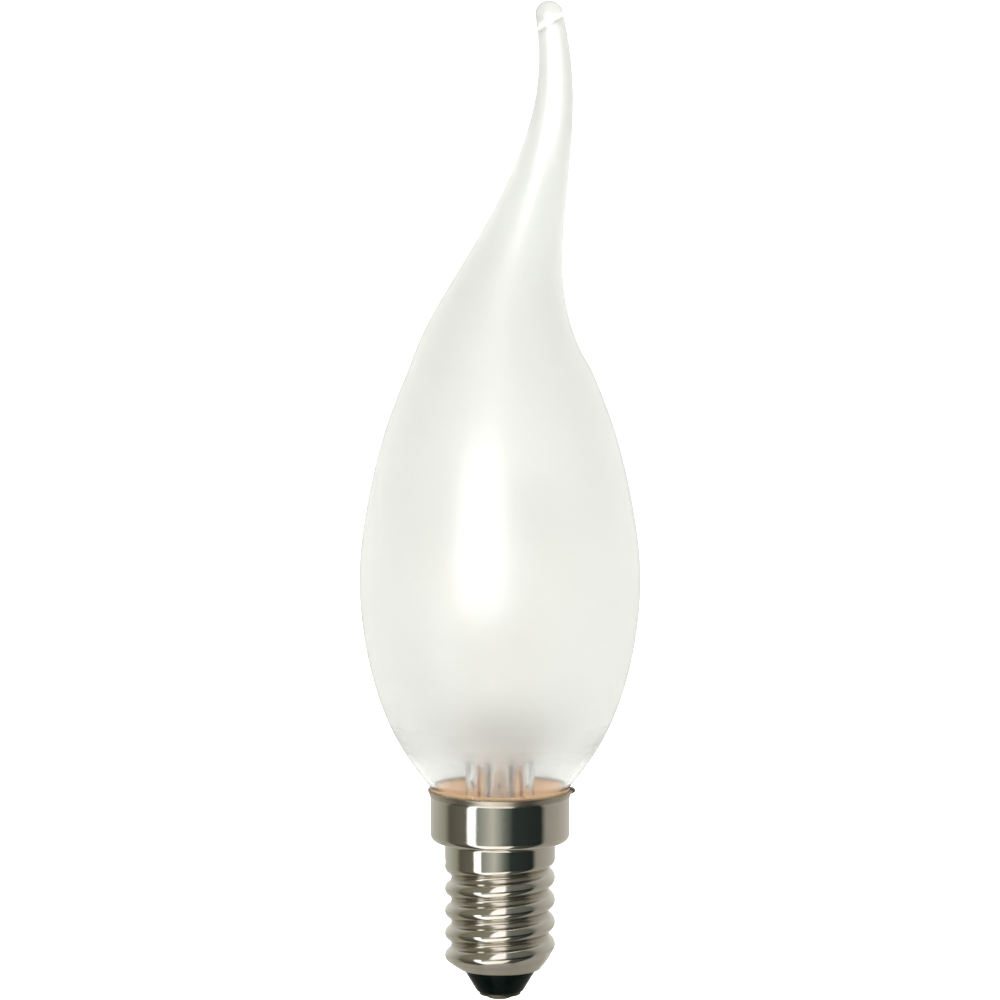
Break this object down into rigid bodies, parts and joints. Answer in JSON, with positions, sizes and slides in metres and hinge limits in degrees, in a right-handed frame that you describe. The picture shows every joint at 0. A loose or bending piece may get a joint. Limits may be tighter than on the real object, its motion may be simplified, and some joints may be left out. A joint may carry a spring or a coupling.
{
  "type": "candle light bulb with a bent flame tip",
  "caption": "Frosted candle filament bulb with a bent, drawn-out flame tip and a nickel-plated small screw cap; gives light when screwed into an E14 lamp holder.",
  "frame": {"origin": "lowest point of the centre contact, on the lamp's axis", "axes": "+Z along the lamp's axis from the cap to the tip, +X towards the side that the tip leans to"},
  "size_m": [0.035, 0.035, 0.125],
  "materials": {
    "frosted_glass": "frosted inside, smooth outside",
    "stem_glass": "clear",
    "nickel_plate": "bright nickel plate on brass sheet",
    "black_glass": "glossy black",
    "contact_brass": "plain brass",
    "solder": "dull tin solder",
    "cement": "baked resin cement, matt",
    "lead_copper": "copper-clad wire",
    "support_metal": "drawn wire",
    "tungsten": "dull coil"
  },
  "bodies": {
    "root": {"glass_bulb": "frosted_glass", "glass_stem": "stem_glass", "cap_shell": "nickel_plate", "cap_insulator": "black_glass", "contact_plate": "contact_brass", "contact_solder": "solder", "side_solder": "solder", "capping_cement": "cement", "contact_lead_wire": "lead_copper", "side_lead_wire": "lead_copper", "left_support_wire": "support_metal", "right_support_wire": "support_metal", "filament": "tungsten"}
  },
  "joints": []
}
